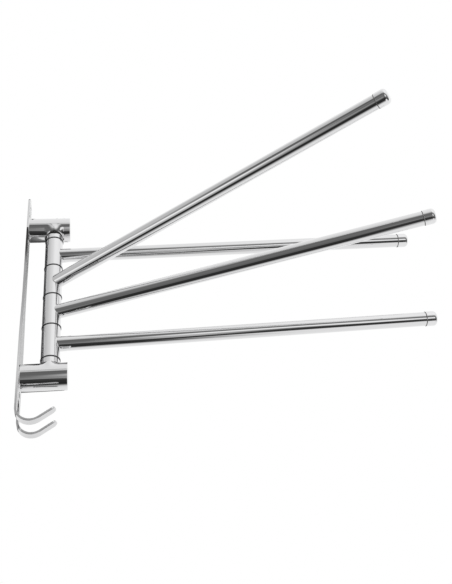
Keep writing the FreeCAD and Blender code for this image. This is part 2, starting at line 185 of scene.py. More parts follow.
class Group:
    """A shader node group with named sockets, built once."""

    def __init__(self, name: str, inputs: dict[str, object], outputs: dict[str, str]) -> None:
        """Makes the empty group.

        Args:
            name: The group's name.
            inputs: Each input's name with its default: a number for a value, None for a vector.
            outputs: Each output's name with its socket type.
        """
        self.tree = bpy.data.node_groups.new(name, "ShaderNodeTree")
        for label, default in inputs.items():
            kind = "NodeSocketVector" if default is None else "NodeSocketFloat"
            socket = self.tree.interface.new_socket(name=label, in_out="INPUT", socket_type=kind)
            if default is not None:
                socket.default_value = default
        for label, kind in outputs.items():
            self.tree.interface.new_socket(name=label, in_out="OUTPUT", socket_type=kind)
        self.nodes = NodeTree(self.tree)
        self.start = self.nodes.add("NodeGroupInput").outputs
        self.end = self.nodes.add("NodeGroupOutput")

    def place(self, nodes: NodeTree, **inputs: object) -> Node:
        """Places the group in another tree and feeds its inputs by name."""
        node = nodes.add("ShaderNodeGroup", node_tree=self.tree)
        return nodes.feed(node, **inputs)


def rubbed_lines_group() -> Group:
    """Fine lines left by the polishing belt, along the local X axis.

    Returns:
        The group, whose outputs are the lines' height and a slow brightness drift.
    """
    group = Group(
        "rubbed_lines",
        {"Vector": None, "Length": 0.05, "Width": 0.0003},
        {"Lines": "NodeSocketFloat", "Drift": "NodeSocketFloat"},
    )
    nodes = group.nodes
    along = nodes.maths("DIVIDE", 1.0, group.start["Length"])
    across = nodes.maths("DIVIDE", 1.0, group.start["Width"])
    scale = nodes.add("ShaderNodeCombineXYZ")
    nodes.feed(scale, X=along, Y=across, Z=across)
    stretched = nodes.vector("MULTIPLY", group.start["Vector"], scale.outputs[0])
    fine = nodes.noise(stretched.outputs[0], 1.0, 3.0, Roughness=0.6)
    broad = nodes.vector("MULTIPLY", stretched.outputs[0], (0.6, 0.12, 0.12))
    slow = nodes.noise(broad.outputs[0], 1.0, 1.0)
    nodes.feed(group.end, Lines=fine, Drift=slow)
    return group


def hand_marks_group() -> Group:
    """Faint marks of handling, which dull a polished surface in patches.

    Returns:
        The group, whose output is a mask of the dulled patches.
    """
    group = Group("hand_marks", {"Vector": None, "Size": 0.02, "Cover": 0.5}, {"Mask": "NodeSocketFloat"})
    nodes = group.nodes
    scale = nodes.maths("DIVIDE", 1.0, group.start["Size"])
    warp = nodes.noise(group.start["Vector"], scale, 2.0, Distortion=0.6)
    fine = nodes.noise(group.start["Vector"], nodes.maths("MULTIPLY", scale, 9.0), 4.0, Roughness=0.7)
    low = nodes.maths("SUBTRACT", 0.8, nodes.maths("MULTIPLY", group.start["Cover"], 0.5))
    patches = nodes.smooth_step(warp, low, nodes.maths("ADD", low, 0.18))
    speckle = nodes.smooth_step(fine, 0.35, 0.7)
    nodes.feed(group.end, Mask=nodes.maths("MULTIPLY", patches, speckle))
    return group


def edge_rub_group() -> Group:
    """Where a cloth and hands rub an edge bright.

    Returns:
        The group, whose output is a mask along the convex edges.
    """
    group = Group("edge_rub", {"Radius": 0.0004}, {"Mask": "NodeSocketFloat"})
    nodes = group.nodes
    bevel = nodes.feed(nodes.add("ShaderNodeBevel", samples=4), Radius=group.start["Radius"])
    true_normal = nodes.add("ShaderNodeNewGeometry").outputs["Normal"]
    turn = nodes.vector("DOT_PRODUCT", bevel.outputs["Normal"], true_normal).outputs["Value"]
    nodes.feed(group.end, Mask=nodes.smooth_step(turn, 0.995, 0.86))
    return group


def dust_group() -> Group:
    """Thin dust that settles on surfaces facing up.

    Returns:
        The group, whose output is a mask of the dust.
    """
    group = Group("settled_dust", {"Vector": None, "Amount": 0.3}, {"Mask": "NodeSocketFloat"})
    nodes = group.nodes
    normal = nodes.split(nodes.add("ShaderNodeNewGeometry").outputs["Normal"])
    facing = nodes.smooth_step(normal.outputs["Z"], 0.35, 1.0)
    specks = nodes.smooth_step(nodes.noise(group.start["Vector"], 900.0, 2.0), 0.45, 0.75)
    mask = nodes.maths("MULTIPLY", facing, specks)
    nodes.feed(group.end, Mask=nodes.maths("MULTIPLY", mask, group.start["Amount"]))
    return group


def weld_shade_group() -> Group:
    """Painted shade on the metal below a weld, dark near it and fading away below it.

    Returns:
        The group, whose output is a mask that is strong near the weld and fades away below it.
    """
    group = Group("painted_weld_shade", {"Height": 0.0, "Weld": 0.0, "Reach": 0.165}, {"Mask": "NodeSocketFloat"})
    nodes, reach = group.nodes, group.start["Reach"]
    strong_share, weak_share = 0.54, 0.44
    below = nodes.maths("SUBTRACT", group.start["Weld"], group.start["Height"])
    darkest, dark, pale = (nodes.maths("MULTIPLY", reach, share) for share in (0.14, 0.31, 0.5))
    near, far = nodes.smooth_step(below, dark, darkest), nodes.smooth_step(below, reach, pale)
    both = nodes.maths("MULTIPLY_ADD", near, strong_share, nodes.maths("MULTIPLY", far, weak_share))
    nodes.feed(group.end, Mask=nodes.maths("MULTIPLY", both, nodes.maths("GREATER_THAN", below, 0.0)))
    return group


@dataclass(frozen=True)
class Effects:
    """The surface effects that several finishes share."""

    lines: Group
    marks: Group
    edges: Group
    dust: Group
    weld_shade: Group

    @staticmethod
    def build() -> "Effects":
        """Builds each group once."""
        groups = (rubbed_lines_group(), hand_marks_group(), edge_rub_group(), dust_group(), weld_shade_group())
        return Effects(*groups)


# ---- Finishes ----


class Grain(Enum):
    """The way a piece was polished, as the turn that brings its rubbing direction to local X."""

    ALONG_Z = (0.0, math.pi / 2, 0.0)
    ALONG_Y = (0.0, 0.0, math.pi / 2)


def new_material(name: str) -> tuple[Material, NodeTree, Node]:
    """Makes a node material.

    Args:
        name: The material's name.

    Returns:
        The material, its tree and its shader.
    """
    made = bpy.data.materials.new(name)
    made.use_nodes = True
    return made, NodeTree(made.node_tree), made.node_tree.nodes["Principled BSDF"]


def grey_ramp(nodes: NodeTree, stops: list[Point2]) -> Node:
    """Places a ramp of greys.

    Args:
        nodes: The tree that uses the ramp.
        stops: Each stop's position and value, in rising order.

    Returns:
        The ramp, whose factor is still to be fed.
    """
    ramp = nodes.add("ShaderNodeValToRGB")
    elements = ramp.color_ramp.elements
    for index, (position, value) in enumerate(stops):
        stop = elements[index] if index < 2 else elements.new(position)
        stop.position = position
        stop.color = (value, value, value, 1.0)
    return ramp


@dataclass(frozen=True)
class Finish:
    """What every finish has: colour, roughness, hand marks and rubbed edges. Sizes in metres."""

    name: str
    colour: Colour
    roughness: float = 0.45
    mark_size: float = 0.004
    mark_cover: float = 0.6
    mark_dulling: float = 0.2
    edge_radius: float = 0.0003
    edge_gain: float = 0.5

    def worn(
        self, nodes: NodeTree, effects: Effects, place: Socket, tone: object, rough: object
    ) -> tuple[Socket, Socket]:
        """Rubs the edges and lays the hand marks on a clean surface.

        Args:
            nodes: The material's tree.
            effects: The shared groups.
            place: The object coordinates.
            tone: How bright the clean surface is.
            rough: How rough the clean surface is.

        Returns:
            The colour and the roughness.
        """
        marks = effects.marks.place(nodes, Vector=place, Size=self.mark_size, Cover=self.mark_cover)
        edge = effects.edges.place(nodes, Radius=self.edge_radius)
        tint = nodes.vector("SCALE", self.colour)
        nodes.feed(tint, Scale=nodes.maths("MULTIPLY_ADD", edge.outputs["Mask"], self.edge_gain, tone))
        return tint.outputs[0], nodes.maths("MULTIPLY_ADD", marks.outputs["Mask"], self.mark_dulling, rough)


@dataclass(frozen=True)
class SteelFinish(Finish):
    """Polished or satin steel."""

    colour: Colour = (0.8, 0.8, 0.805)
    roughness: float = 0.045
    line_length: float = 0.09
    line_width: float = 0.0006
    line_depth: float = 0.06
    line_height: float = 0.0001
    line_streaks: float = 0.04
    drift: float = 0.05
    mark_size: float = 0.03
    mark_cover: float = 0.5
    mark_dulling: float = 0.1
    edge_radius: float = 0.0004
    edge_gain: float = 0.06
    dust_amount: float = 0.12
    dust_dulling: float = 0.5
    # Height below which the cut edges get painted shade; None for none.
    weld_height: float | None = None

    def material(self, effects: Effects, turn: Point3) -> Material:
        """Builds the material.

        Args:
            effects: The shared groups.
            turn: Rotation that brings the rubbing direction to the local X axis.

        Returns:
            The material.
        """
        made, nodes, shader = new_material(self.name)
        place = nodes.add("ShaderNodeTexCoord").outputs["Object"]
        turned = nodes.feed(nodes.add("ShaderNodeMapping", vector_type="POINT"), Vector=place, Rotation=turn)
        lines = effects.lines.place(
            nodes, Vector=turned.outputs["Vector"], Length=self.line_length, Width=self.line_width
        )
        dust = effects.dust.place(nodes, Vector=place, Amount=self.dust_amount).outputs["Mask"]
        drift = nodes.maths("MULTIPLY_ADD", lines.outputs["Drift"], self.drift, 1.0 - self.drift / 2)
        smooth = self.roughness - self.line_streaks / 2
        streaked = nodes.maths("MULTIPLY_ADD", lines.outputs["Lines"], self.line_streaks, smooth)
        tint, rough = self.worn(nodes, effects, place, drift, streaked)
        tint = nodes.mix(dust, tint, DUST_COLOUR)
        # Painted shade: the cut edges below the weld are darkened.
        if self.weld_height is not None:
            tint = nodes.mix(self._weld_shade(nodes, effects, place), tint, WELD_SHADE_COLOUR)
        rough = nodes.maths("MULTIPLY_ADD", dust, self.dust_dulling, rough)
        normal = nodes.bump(lines.outputs["Lines"], self.line_depth, self.line_height)
        nodes.feed(shader, Base_Color=tint, Metallic=1.0, Roughness=rough, Normal=normal)
        return made

    def _weld_shade(self, nodes: NodeTree, effects: Effects, place: Socket) -> Socket:
        """Finds the cut edges below a weld, where shade is painted.

        Args:
            nodes: The material's tree.
            effects: The shared groups.
            place: The object coordinates.

        Returns:
            The painted shade's mask on those edges.
        """
        height = nodes.split(place).outputs["Z"]
        weld_shade = effects.weld_shade.place(nodes, Height=height, Weld=self.weld_height)
        sideways = nodes.split(nodes.add("ShaderNodeTexCoord").outputs["Normal"]).outputs["X"]
        cut_edge = nodes.smooth_step(nodes.maths("ABSOLUTE", sideways), 0.02, 0.3)
        return nodes.maths("MULTIPLY", weld_shade.outputs["Mask"], cut_edge)


@dataclass(frozen=True)
class PlasticFinish(Finish):
    """Moulded or turned plastic with a fine matt skin."""

    skin_scale: float = 4000.0
    skin_depth: float = 0.15
    skin_height: float = 0.00005

    def material(self, effects: Effects) -> Material:
        """Builds the material.

        Args:
            effects: The shared groups.

        Returns:
            The material.
        """
        made, nodes, shader = new_material(self.name)
        place = nodes.add("ShaderNodeTexCoord").outputs["Object"]
        tint, rough = self.worn(nodes, effects, place, 1.0, self.roughness)
        skin = nodes.noise(place, self.skin_scale, 2.0)
        normal = nodes.bump(skin, self.skin_depth, self.skin_height)
        nodes.feed(shader, Base_Color=tint, Roughness=rough, Normal=normal)
        return made


@dataclass(frozen=True)
class ZincFinish(Finish):
    """Zinc-plated steel with its cloudy spangle."""

    colour: Colour = (0.6, 0.61, 0.62)
    roughness: float = 0.3
    mark_size: float = 0.006
    mark_cover: float = 0.7
    edge_gain: float = 0.15
    spangle_scale: float = 700.0
    cloud: float = 0.25
    cloud_floor: float = 0.88

    def material(self, effects: Effects) -> Material:
        """Builds the material.

        Args:
            effects: The shared groups.

        Returns:
            The material.
        """
        made, nodes, shader = new_material(self.name)
        place = nodes.add("ShaderNodeTexCoord").outputs["Object"]
        spangle = nodes.add("ShaderNodeTexVoronoi", feature="F1")
        nodes.feed(spangle, Vector=place, Scale=self.spangle_scale)
        cloud = nodes.maths("MULTIPLY_ADD", spangle.outputs["Distance"], self.cloud, self.cloud_floor)
        tint, rough = self.worn(nodes, effects, place, cloud, self.roughness)
        nodes.feed(shader, Base_Color=tint, Metallic=1.0, Roughness=rough)
        return made


@dataclass(frozen=True)
class Wardrobe:
    """Every finish that the rail wears, built once."""

    effects: Effects
    column: Material
    posts: Material
    plate: Material
    weld: Material
    cap: Material
    ring: Material
    bush: Material
    zinc: Material
    # Near-black finish for the painted shade in the seams and grooves.
    seam: Material

    @staticmethod
    def build() -> "Wardrobe":
        """Builds the shared groups and the materials.

        Returns:
            The finishes.
        """
        effects = Effects.build()
        along_z, along_y = Grain.ALONG_Z.value, Grain.ALONG_Y.value
        # The plate gets painted shade on its cut edges below the upper post's weld.
        plate = SteelFinish(
            "plate_steel", colour=(0.72, 0.72, 0.725), roughness=0.08, line_depth=0.1, weld_height=0.08
        )
        cap = SteelFinish("cap_chrome", colour=(0.84, 0.84, 0.845), roughness=0.09)
        return Wardrobe(
            effects=effects,
            column=SteelFinish("column_steel").material(effects, along_z),
            posts=SteelFinish("post_steel", roughness=0.04).material(effects, along_y),
            plate=plate.material(effects, along_z),
            weld=SteelFinish("weld_steel", roughness=0.06, line_depth=0.1).material(effects, along_z),
            cap=cap.material(effects, along_z),
            ring=PlasticFinish("ring_plastic", (0.03, 0.03, 0.032)).material(effects),
            bush=PlasticFinish("bush_plastic", (0.8, 0.8, 0.78)).material(effects),
            zinc=ZincFinish("zinc_steel").material(effects),
            # Near black: painted shade for the crevices round the collars and before the caps.
            seam=PlasticFinish("painted_crevice_shade", (0.06, 0.058, 0.055), 0.7).material(effects),
        )

    def arm_steel(self, number: int, angle: float) -> Material:
        """Steel rubbed along an arm that is turned about +Z from straight out, in degrees."""
        turn = (0.0, 0.0, math.radians(90.0 - angle))
        return SteelFinish(f"arm_{number}_steel").material(self.effects, turn)


def dress(material: Material, *nodes: str) -> None:
    """Gives carried-over rigid pieces their material.

    Args:
        material: The material for all their faces.
        nodes: The pieces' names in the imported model.
    """
    for node in nodes:
        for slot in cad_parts[node].material_slots:
            slot.material = material


# ---- Mesh building ----


def add_object(name: str, data: bpy.types.ID) -> bpy.types.Object:
    """Makes an object and links it into the scene.

    Args:
        name: The object's name.
        data: Its mesh, lamp or camera.

    Returns:
        The object.
    """
    made = bpy.data.objects.new(name, data)
    bpy.context.scene.collection.objects.link(made)
    return made


def add_piece(
    name: str,
    points: list[Vector],
    faces: list[Face],
    material: Material,
    body: str,
    normals: list[Vector] | None = None,
) -> bpy.types.Object:
    """Makes a smooth-shaded piece that rides on a body.

    Args:
        name: The piece's name.
        points: Its vertices, in millimetres.
        faces: Its faces, as vertex numbers.
        material: Its material.
        body: The body that it rides on.
        normals: The surface's own normals at the vertices, or None to work them out.

    Returns:
        The new piece.
    """
    mesh = bpy.data.meshes.new(name)
    mesh.from_pydata([point * MM for point in points], [], faces)
    made = bmesh.new()
    made.from_mesh(mesh)
    bmesh.ops.recalc_face_normals(made, faces=made.faces)
    made.to_mesh(mesh)
    made.free()
    mesh.shade_smooth()
    if normals is not None:
        mesh.normals_split_custom_set_from_vertices([normal.normalized() for normal in normals])
    mesh.materials.append(material)
    piece = add_object(name, mesh)
    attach(piece, body)
    return piece


def ring_faces(steps: int, section: int) -> list[Face]:
    """Faces of a section that is swept once round and closes on itself.

    Args:
        steps: How many sections there are round the ring.
        section: How many points each section has.

    Returns:
        The faces.
    """
    faces = []
    for index in range(steps):
        here, there = index * section, (index + 1) % steps * section
        for step in range(section):
            after = (step + 1) % section
            faces.append((here + step, here + after, there + after, there + step))
    return faces


@dataclass(frozen=True)
class WeldBead:
    """Fillet in the corner where a round branch meets a round tube or a flat plate. Sizes in millimetres."""

    name: str
    body: str
    centre: Point3
    out: Point3
    along: Point3
    branch_radius: float
    main_radius: float | None
    spread: float
    rise: float
    lean: float = 0.0
    steps: int = 144
    curve: int = 6
    sink: float = 0.03
    most_share: float = 0.78

    def build(self, material: Material) -> bpy.types.Object:
        """Sweeps the fillet round the branch.

        Args:
            material: The bead's finish.

        Returns:
            The bead.
        """
        centre, out, along = Vector(self.centre), Vector(self.out), Vector(self.along)
        side = out.cross(along)
        points = []
        for index in range(self.steps):
            turn = 2.0 * math.pi * index / self.steps
            ray = along * math.cos(turn) + side * math.sin(turn)
            foot = centre + out * self._height(self.branch_radius, turn)
            root = foot + ray * (self.branch_radius - self.sink)
            reach = self.branch_radius + self._spread_at(turn)
            far = centre + ray * reach + out * (self._height(reach, turn) - self.sink)
            near = root + out * self.rise
            bend = root + (far - root) * self.lean
            for step in range(self.curve + 1):
                t = step / self.curve
                points.append(near * (1 - t) ** 2 + bend * 2 * t * (1 - t) + far * t**2)
            points.append(root - out * self.sink * 2 - ray * self.sink)
        faces = ring_faces(self.steps, self.curve + 2)
        return add_piece(self.name, points, faces, material, self.body)

    def _spread_at(self, turn: float) -> float:
        """Width of the fillet seen along the branch, narrower where the main tube curves away.

        Args:
            turn: The angle round the branch.

        Returns:
            The width.
        """
        if self.main_radius is None:
            return self.spread
        narrow = min(self.spread, self.most_share * (self.main_radius - self.branch_radius))
        return narrow + (self.spread - narrow) * math.cos(turn) ** 2

    def _height(self, reach: float, turn: float) -> float:
        """Height of the main tube's surface above its axis.

        Args:
            reach: Distance from the branch's axis.
            turn: The angle round the branch.

        Returns:
            The height, which is 0 on a flat plate.
        """
        if self.main_radius is None:
            return 0.0
        return math.sqrt(self.main_radius**2 - (reach * math.sin(turn)) ** 2)


@dataclass(frozen=True)
class DrawnLip:
    """The lip that a tube's wall is drawn into at one side of its collar. In millimetres and degrees."""

    name: str
    centre: Point3
    inward: float
    side: float
    tube_radius: float
    collar_radius: float
    start: float = 4.0
    full: float = 28.0
    slope: float = 24.0
    half_span: float = 9.0
    fade: float = 4.4
    groove: float = 4.5
    columns: int = 48
    rows: int = 28
    sink: float = 0.02
    # Across the groove: the share of its width, the share of the lip's height, and what is added to that.
    groove_levels: tuple[Point3, ...] = ((0.0, 1.0, -0.02), (0.6, 0.35, 0.1), (1.1, 0.0, 0.12))

    def build(self, steel: Material, crevice_shade: Material) -> None:
        """Shapes the lip and the groove between it and the collar; the groove is near black, painted shade.

        Args:
            steel: The lip's finish.
            crevice_shade: The groove's finish.
        """
        lip, groove = [], []
        for column in range(self.columns + 1):
            along = self.half_span * (2 * column / self.columns - 1)
            end = self._collar_angle(along) - self.groove
            for row in range(self.rows + 1):
                angle = self.start + (end - self.start) * row / self.rows
                lip.append(self._place(along, angle, self._lift(along, angle) - self.sink))
            edge = self._lift(along, end)
            for across, share, extra in self.groove_levels:
                groove.append(self._place(along, end + self.groove * across, edge * share + extra))
        add_piece(f"{self.name}_lip", lip, self._strips(self.rows + 1), steel, "base")
        # The groove is near black: painted shade between the lip and the collar.
        faces = self._strips(len(self.groove_levels))
        add_piece(f"{self.name}_lip_groove_shade", groove, faces, crevice_shade, "base")

    def _collar_angle(self, along: float) -> float:
        """Angle round the tube at which its wall meets the collar, from level towards the collar."""
        level = math.sqrt(max(self.collar_radius**2 - along**2, 0.0))
        return math.degrees(math.acos(level / self.tube_radius))

    def _lift(self, along: float, angle: float) -> float:
        """How far the lip stands out from the tube's wall.

        Args:
            along: Place along the tube, from the collar's axis.
            angle: Angle round the tube, from level towards the collar.

        Returns:
            The height above the wall.
        """
        climb = min(max(angle - self.start, 0.0) / (self.full - self.start), 1.0)
        eased = climb * climb * (self.full - self.start) / 2 + max(angle - self.full, 0.0)
        height = self.tube_radius * math.tan(math.radians(self.slope)) * math.radians(eased)
        return height * math.exp(-((along / self.fade) ** 2))

    def _place(self, along: float, angle: float, lift: float) -> Vector:
        """Point on or above the tube's wall.

        Args:
            along: Place along the tube, from the collar's axis.
            angle: Angle round the tube, from level towards the collar.
            lift: Height above the wall.

        Returns:
            The point.
        """
        turn, reach = math.radians(angle), self.tube_radius + lift
        out = Vector((self.side * reach * math.cos(turn), along, self.inward * reach * math.sin(turn)))
        return Vector(self.centre) + out

    def _strips(self, section: int) -> list[Face]:
        """Faces between neighbouring columns of points.

        Args:
            section: How many points each column has.

        Returns:
            The faces.
        """
        faces = []
        for column in range(self.columns):
            here, there = column * section, (column + 1) * section
            for row in range(section - 1):
                faces.append((here + row, here + row + 1, there + row + 1, there + row))
        return faces


@dataclass(frozen=True)
class SheetPoint:
    """A point on the edge of the flat sheet, with the direction that leads out of the metal."""

    across: float
    along: float
    out_across: float
    out_along: float

    def inset(self, depth: float) -> Point2:
        """Place that lies this deep inside the metal."""
        return self.across - depth * self.out_across, self.along - depth * self.out_along

    def mirrored(self) -> "SheetPoint":
        """The same point on the sheet's other half."""
        return SheetPoint(-self.across, self.along, -self.out_across, self.out_along)

    def hollow(self) -> "SheetPoint":
        """The same point on the edge of an opening."""
        return SheetPoint(self.across, self.along, -self.out_across, -self.out_along)


@dataclass(frozen=True)
class WallPlate:
    """One bent sheet: round top, flare, slot and two hooks. Sizes in millimetres."""

    thickness: float = 2.0
    top: float = 122.2
    top_width: float = 17.0
    foot_width: float = 28.0
    flare_top: float = 12.0
    flare_foot: float = -62.0
    prong_width: float = 7.0
    slot_crown: float = -103.3
    bend: float = -117.7
    hook_radius: float = 11.5
    hook_rise: float = 34.0
    lip: float = 15.2
    tip_round: float = 3.3
    edge_round: float = 0.35
    hole_diameter: float = 4.5
    hole_heights: Point2 = (112.0, -98.8)
    hole_edge_round: float = 0.2
    edge_tilts: tuple[float, ...] = (90.0, 65.0, 45.0, 25.0, 0.0)
    prong_rows: Point2 = (0.6, 0.3)
    bend_rows: int = 36
    top_steps: int = 20
    flare_steps: int = 12
    tip_steps: int = 8
    crown_steps: int = 14
    hole_steps: int = 40

    def build(self, wardrobe: Wardrobe) -> None:
        """Builds the sheet with its rounded edges, in place of the plain one.

        Args:
            wardrobe: The finishes.
        """
        loops = [(self._outline(), self.edge_round)]
        loops += [(self._hole(height), self.hole_edge_round) for height in self.hole_heights]
        points, normals, faces, rims = [], [], [], []
        for loop, radius in loops:
            start = len(points)
            for depth, height, tilt in self._edge_levels(radius):
                for spot in loop:
                    across, along = spot.inset(depth)
                    points.append(self._bent(across, along, height))
                    flat = (spot.out_across * math.cos(tilt), spot.out_along * math.cos(tilt), math.sin(tilt))
                    normals.append(self._bent_direction(along, flat))
            count, levels = len(loop), len(self._edge_levels(radius))
            for level in range(levels - 1):
                for index in range(count):
                    a, b = start + level * count + index, start + level * count + (index + 1) % count
                    faces.append((a, b, b + count, a + count))
            rims.append((start, count, (levels - 1) * count, [spot.inset(radius) for spot in loop]))
        for a, b, c in self._fill(rims):
            faces.append((a[0], b[0], c[0]))
            faces.append((a[1], c[1], b[1]))
        plate = add_piece("wall_plate_sheet", points, faces, wardrobe.plate, "base", normals)
        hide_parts("wall_plate")

    def _edge_levels(self, radius: float) -> list[Point3]:
        """Steps round a rounded edge, from the front face to the back face.

        Args:
            radius: The edge's rounding.

        Returns:
            For each step its depth inside the outline, its height above the sheet's middle, and its tilt.
        """
        flat = self.thickness / 2 - radius
        tilts = [math.radians(tilt) for tilt in self.edge_tilts]
        front = [(radius * (1 - math.cos(t)), flat + radius * math.sin(t), t) for t in tilts]
        return front + [(depth, -height, -tilt) for depth, height, tilt in reversed(front)]

    def _outline(self) -> list[SheetPoint]:
        """Points round the whole flat sheet, clockwise from the top, as seen from the front.

        Returns:
            The points.
        """
        top, foot = self.top_width / 2, self.foot_width / 2
        slot = foot - self.prong_width
        half = self._arc(0.0, self.top - top, top, 90.0, 0.0, self.top_steps)
        half += self._flare(top, foot)
        end = self._flat_end()
        rows = [self._row(index) for index in range(self.bend_rows + 1)]
        tip = end + self.tip_round
        rows += [tip + (self.lip - self.tip_round) * share for share in self.prong_rows]
        half += [SheetPoint(foot, along, 1.0, 0.0) for along in rows]
        half += self._arc(foot - self.tip_round, tip, self.tip_round, 0.0, -90.0, self.tip_steps)
        half += self._arc(slot + self.tip_round, tip, self.tip_round, -90.0, -180.0, self.tip_steps)
        half += [SheetPoint(slot, along, -1.0, 0.0) for along in reversed(rows)]
        crown = self._arc(0.0, self.slot_crown - slot, slot, 0.0, 90.0, self.crown_steps)
        half += [spot.hollow() for spot in crown]
        return half + [spot.mirrored() for spot in reversed(half[1:-1])]

    def _flat_end(self) -> float:
        """How far down the prongs reach before they are bent."""
        return self.bend - self.hook_radius * math.radians(90.0 + self.hook_rise) - self.lip

    def _row(self, index: int) -> float:
        """Place along the flat sheet of one of the rows across the bend."""
        swept = math.radians(90.0 + self.hook_rise) * index / self.bend_rows
        return self.bend - self.hook_radius * swept

    @staticmethod
    def _arc(x: float, z: float, radius: float, start: float, end: float, steps: int) -> list[SheetPoint]:
        """Points along an arc whose centre lies in the metal.

        Args:
            x: The centre's place across the sheet.
            z: The centre's place along the sheet.
            radius: The arc's radius.
            start: Where it starts, in degrees.
            end: Where it ends, in degrees.
            steps: How many steps it has.

        Returns:
            The points.
        """
        turns = [math.radians(start + (end - start) * step / steps) for step in range(steps + 1)]
        return [
            SheetPoint(x + radius * math.cos(t), z + radius * math.sin(t), math.cos(t), math.sin(t))
            for t in turns
        ]

    def _flare(self, top: float, foot: float) -> list[SheetPoint]:
        """Points down the two equal arcs that widen the sheet in a smooth S.

        Args:
            top: Half the width above.
            foot: Half the width below.

        Returns:
            The points.
        """
        rise, step = (self.flare_top - self.flare_foot) / 2, (foot - top) / 2
        radius = (rise * rise + step * step) / (2 * step)
        widest = math.asin(rise / radius)
        upper, lower = [], []
        for index in range(self.flare_steps + 1):
            turn = widest * index / self.flare_steps
            out = math.cos(turn), math.sin(turn)
            across, along = radius * out[0], radius * out[1]
            upper.append(SheetPoint(top + radius - across, self.flare_top - along, *out))
            lower.append(SheetPoint(foot - radius + across, self.flare_foot + along, *out))
        return upper + lower[-2::-1]

    def _hole(self, height: float) -> list[SheetPoint]:
        """Points round a screw hole."""
        ring = self._arc(0.0, height, self.hole_diameter / 2, 0.0, 360.0, self.hole_steps)[:-1]
        return [spot.hollow() for spot in ring]

    def _fill(self, rims: list[tuple[int, int, int, list[Point2]]]) -> list[tuple[Point2, Point2, Point2]]:
        """Triangles of the sheet's two faces between its rims.

        Args:
            rims: For each rim its first vertex, its size, the step to the back face, and its flat points.

        Returns:
            For each triangle its three corners, each as the front and the back vertex.
        """
        spots, edges, corners = [], [], []
        for start, count, back, flat in rims:
            first = len(spots)
            spots += [Vector(place) for place in flat]
            edges += [(first + index, first + (index + 1) % count) for index in range(count)]
            corners += [(start + index, start + index + back) for index in range(count)]
        rows = {}
        for index, (across, along) in enumerate(rims[0][3]):
            if along <= self.bend + 1e-6:
                rows.setdefault((across > 0, round(along, 4)), []).append(index)
        edges += [tuple(row) for row in rows.values() if len(row) == 2]
        found, _, triangles, original, _, _ = delaunay_2d_cdt(spots, edges, [], 1, 1e-7)
        holes = [Vector((0.0, height)) for height in self.hole_heights]
        kept = []
        for triangle in triangles:
            middle = sum((found[corner] for corner in triangle), Vector((0.0, 0.0))) / 3
            if all((middle - hole).length >= self.hole_diameter / 2 for hole in holes):
                kept.append(tuple(corners[original[corner][0]] for corner in triangle))
        return kept

    def _bent(self, across: float, along: float, height: float) -> Vector:
        """Place of a flat sheet's point once the hooks are bent.

        Args:
            across: Place across the sheet.
            along: Place along the flat sheet.
            height: Height above the middle of the sheet, towards the front.

        Returns:
            The point, in millimetres.
        """
        if along >= self.bend:
            return Vector((across, -self.thickness / 2 - height, along))
        swept, rest = self._swept(along)
        reach = self.hook_radius - height
        centre = -self.thickness / 2 - self.hook_radius
        y = centre + reach * math.cos(swept) - rest * math.sin(swept)
        z = self.bend - reach * math.sin(swept) - rest * math.cos(swept)
        return Vector((across, y, z))

    def _bent_direction(self, along: float, flat: Point3) -> Vector:
        """Direction on the flat sheet, turned as the sheet is bent there.

        Args:
            along: Place along the flat sheet.
            flat: The direction across, along and out of the sheet.

        Returns:
            The direction in space.
        """
        swept, _ = self._swept(along)
        across, length, height = flat
        y = length * math.sin(swept) - height * math.cos(swept)
        z = length * math.cos(swept) + height * math.sin(swept)
        return Vector((across, y, z))

    def _swept(self, along: float) -> Point2:
        """How far the sheet has turned at a place along it.

        Args:
            along: Place along the flat sheet.

        Returns:
            The angle, and the straight length past the bend.
        """
        below = max(self.bend - along, 0.0)
        full = math.radians(90.0 + self.hook_rise)
        swept = min(below / self.hook_radius, full)
        return swept, below - swept * self.hook_radius


@dataclass(frozen=True)
class Post:
    """A short tube on the plate with its plug, its collar and their welds. Sizes in millimetres."""

    name: str
    height: float
    inward: float
    radius: float = 11.5
    plate_front: float = -2.0
    column_reach: float = COLUMN_REACH
    collar_radius: float = 8.0
    foot_weld: Point2 = (0.8, 0.8)
    # Spread, rise and lean of the near-black bead of painted shade round the collar.
    seam: Point3 = (0.9, 0.9, 0.4)

    def build(self, wardrobe: Wardrobe) -> None:
        """Dresses the post, lays its weld on the plate and the drawn lips round its collar, and lays
        near-black painted shade in the crevices round the collar.

        Args:
            wardrobe: The finishes.
        """
        dress(wardrobe.posts, f"{self.name}_post", f"{self.name}_post_plug")
        dress(wardrobe.column, f"{self.name}_collar")
        WeldBead(
            f"{self.name}_foot_weld", "base", (0.0, self.plate_front, self.height), (0.0, -1.0, 0.0), UP,
            self.radius, None, *self.foot_weld,
        ).build(wardrobe.weld)
        centre = (0.0, -self.column_reach, self.height)
        # A near-black bead round the collar: painted shade in the crevice where the collar meets the post.
        WeldBead(
            f"{self.name}_collar_seam_shade", "base", centre, (0.0, 0.0, self.inward), (0.0, 1.0, 0.0),
            self.collar_radius, self.radius, *self.seam,
        ).build(wardrobe.seam)
        for label, side in (("left", -1.0), ("right", 1.0)):
            DrawnLip(
                f"{self.name}_{label}", centre, self.inward, side, self.radius, self.collar_radius,
            ).build(wardrobe.posts, wardrobe.seam)


@dataclass(frozen=True)
class SpindleColumn:
    """The fixed pieces of the column: the spindle, its nuts and the spacer rings."""

    rings: int = 5

    def build(self, wardrobe: Wardrobe) -> None:
        """Dresses the spindle, its nuts and the rings."""
        dress(wardrobe.zinc, "spindle", "upper_spindle_nut", "lower_spindle_nut")
        dress(wardrobe.ring, *(f"spacer_ring_{number}" for number in range(1, self.rings + 1)))


